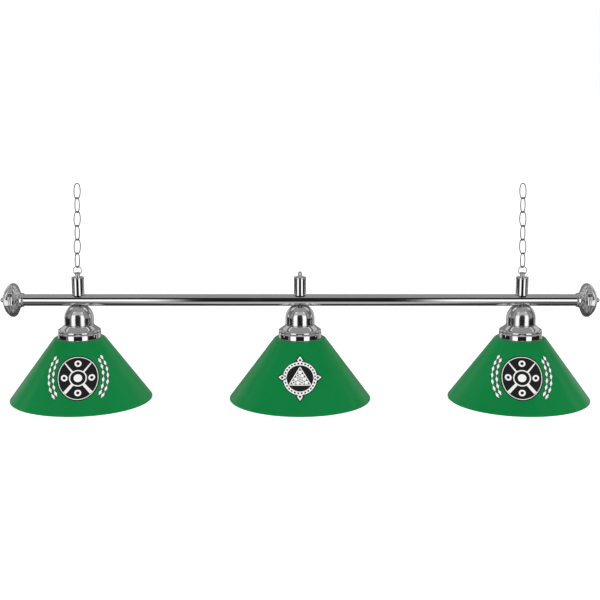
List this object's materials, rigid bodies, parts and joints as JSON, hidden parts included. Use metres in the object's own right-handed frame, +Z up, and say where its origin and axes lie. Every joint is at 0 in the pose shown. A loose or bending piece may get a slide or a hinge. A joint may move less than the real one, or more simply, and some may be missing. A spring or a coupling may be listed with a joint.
{
  "type": "pool table lamp",
  "caption": "Pool table lamp: green cone shades in a row under a chromed bar, hung level from a chain near each end; the shades turn and the bulbs screw out.",
  "frame": {"origin": "midway between the two points where ceiling hooks hold the top chain links, on the inner crown of each link", "axes": "+X along the bar, +Y to the back of the lamp (the emblems face -Y), +Z up"},
  "size_m": [1.524, 0.3628, 0.5537],
  "materials": {
    "chain_chrome": "bright chrome plate on steel wire",
    "bar_chrome": "bright chrome plate on steel tube",
    "trim_chrome": "bright chrome plate on spun and turned steel",
    "green_acrylic": "glossy green outside, white inside, with a printed black and white emblem on the front",
    "white_ceramic": "white glaze",
    "black_plastic": "moulded satin black",
    "zinc_steel": "dull zinc plate",
    "brass": "plain stamped brass",
    "bulb_nickel": "rolled nickel-plated screw base",
    "bulb_glass": "inside-frosted",
    "wire": "plain insulated wire"
  },
  "bodies": {
    "top_links": {"left_chain_link_1": "chain_chrome", "right_chain_link_1": "chain_chrome"},
    "left_second_link": {"left_chain_link_2": "chain_chrome"},
    "left_chain": {"left_chain_link_3": "chain_chrome", "left_chain_link_4": "chain_chrome", "left_chain_link_5": "chain_chrome"},
    "left_last_link": {"left_chain_link_6": "chain_chrome"},
    "right_second_link": {"right_chain_link_2": "chain_chrome"},
    "right_chain": {"right_chain_link_3": "chain_chrome", "right_chain_link_4": "chain_chrome", "right_chain_link_5": "chain_chrome"},
    "right_last_link": {"right_chain_link_6": "chain_chrome"},
    "lamp": {"bar_tube": "bar_chrome", "center_cap_nut": "trim_chrome", "cord_bushing": "black_plastic", "wiring_loom": "wire", "left_end_bell": "trim_chrome", "left_end_dome": "trim_chrome", "left_finial_ball": "trim_chrome", "left_chain_loop": "trim_chrome", "right_end_bell": "trim_chrome", "right_end_dome": "trim_chrome", "right_finial_ball": "trim_chrome", "right_chain_loop": "trim_chrome", "left_post": "trim_chrome", "left_threaded_rod": "zinc_steel", "left_cup": "trim_chrome", "left_lock_nut": "zinc_steel", "left_shade_holder": "trim_chrome", "left_ring_nut": "black_plastic", "left_socket_body": "white_ceramic", "left_screw_shell": "brass", "center_post": "trim_chrome", "center_threaded_rod": "zinc_steel", "center_cup": "trim_chrome", "center_lock_nut": "zinc_steel", "center_shade_holder": "trim_chrome", "center_ring_nut": "black_plastic", "center_socket_body": "white_ceramic", "center_screw_shell": "brass", "right_post": "trim_chrome", "right_threaded_rod": "zinc_steel", "right_cup": "trim_chrome", "right_lock_nut": "zinc_steel", "right_shade_holder": "trim_chrome", "right_ring_nut": "black_plastic", "right_socket_body": "white_ceramic", "right_screw_shell": "brass"},
    "left_shade": {"left_shade": "green_acrylic"},
    "left_bulb_tip": {"left_bulb_contact": "brass"},
    "left_bulb": {"left_bulb_glass": "bulb_glass", "left_bulb_base": "bulb_nickel"},
    "center_shade": {"center_shade": "green_acrylic"},
    "center_bulb_tip": {"center_bulb_contact": "brass"},
    "center_bulb": {"center_bulb_glass": "bulb_glass", "center_bulb_base": "bulb_nickel"},
    "right_shade": {"right_shade": "green_acrylic"},
    "right_bulb_tip": {"right_bulb_contact": "brass"},
    "right_bulb": {"right_bulb_glass": "bulb_glass", "right_bulb_base": "bulb_nickel"}
  },
  "joints": [
    {"name": "swing_front_back", "type": "hinge", "parent": "top_links", "child": "left_second_link", "pos_m": [-0.55806, 0, -0.03513], "axis": [1, 0, 0], "range_deg": [-20, 20]},
    {"name": "swing_sideways", "type": "hinge", "parent": "left_second_link", "child": "left_chain", "pos_m": [-0.55912, 0, -0.07012], "axis": [0, 1, 0], "range_deg": [-20, 20]},
    {"name": "left_last_link_levels", "type": "hinge", "parent": "left_chain", "child": "left_last_link", "pos_m": [-0.56233, 0, -0.17507], "axis": [0, 1, 0], "range_deg": [-20, 20]},
    {"name": "bar_rock", "type": "hinge", "parent": "left_last_link", "child": "lamp", "pos_m": [-0.5634, 0, -0.20975], "axis": [1, 0, 0], "range_deg": [-20, 20]},
    {"name": "right_front_back", "type": "hinge", "parent": "top_links", "child": "right_second_link", "pos_m": [0.55806, 0, -0.03513], "axis": [1, 0, 0], "range_deg": [-20, 20]},
    {"name": "right_sideways", "type": "hinge", "parent": "right_second_link", "child": "right_chain", "pos_m": [0.55912, 0, -0.07012], "axis": [0, 1, 0], "range_deg": [-20, 20]},
    {"name": "right_last_link_levels", "type": "hinge", "parent": "right_chain", "child": "right_last_link", "pos_m": [0.56233, 0, -0.17507], "axis": [0, 1, 0], "range_deg": [-20, 20]},
    {"name": "left_shade_turn", "type": "hinge", "parent": "lamp", "child": "left_shade", "pos_m": [-0.5634, 0, -0.3911], "axis": [0, 0, 1], "continuous": true},
    {"name": "left_bulb_travel", "type": "slide", "parent": "lamp", "child": "left_bulb_tip", "axis": [0, 0, 1], "range_m": [-0.01453, 0]},
    {"name": "left_bulb_turn", "type": "hinge", "parent": "left_bulb_tip", "child": "left_bulb", "pos_m": [-0.5634, 0, -0.378], "axis": [0, 0, 1], "range_deg": [-1440, 0]},
    {"name": "center_shade_turn", "type": "hinge", "parent": "lamp", "child": "center_shade", "pos_m": [0, 0, -0.3911], "axis": [0, 0, 1], "continuous": true},
    {"name": "center_bulb_travel", "type": "slide", "parent": "lamp", "child": "center_bulb_tip", "axis": [0, 0, 1], "range_m": [-0.01453, 0]},
    {"name": "center_bulb_turn", "type": "hinge", "parent": "center_bulb_tip", "child": "center_bulb", "pos_m": [0, 0, -0.378], "axis": [0, 0, 1], "range_deg": [-1440, 0]},
    {"name": "right_shade_turn", "type": "hinge", "parent": "lamp", "child": "right_shade", "pos_m": [0.5634, 0, -0.3911], "axis": [0, 0, 1], "continuous": true},
    {"name": "right_bulb_travel", "type": "slide", "parent": "lamp", "child": "right_bulb_tip", "axis": [0, 0, 1], "range_m": [-0.01453, 0]},
    {"name": "right_bulb_turn", "type": "hinge", "parent": "right_bulb_tip", "child": "right_bulb", "pos_m": [0.5634, 0, -0.378], "axis": [0, 0, 1], "range_deg": [-1440, 0]}
  ],
  "couplings": [
    {"joint": "left_last_link_levels", "follows": "swing_sideways", "ratio": -0.99431},
    {"joint": "right_front_back", "follows": "swing_front_back", "ratio": 1},
    {"joint": "right_sideways", "follows": "swing_sideways", "ratio": 1},
    {"joint": "right_last_link_levels", "follows": "swing_sideways", "ratio": -0.99431},
    {"joint": "left_bulb_travel", "follows": "left_bulb_turn", "m_per_rad": 0.00057773},
    {"joint": "center_bulb_travel", "follows": "center_bulb_turn", "m_per_rad": 0.00057773},
    {"joint": "right_bulb_travel", "follows": "right_bulb_turn", "m_per_rad": 0.00057773}
  ]
}
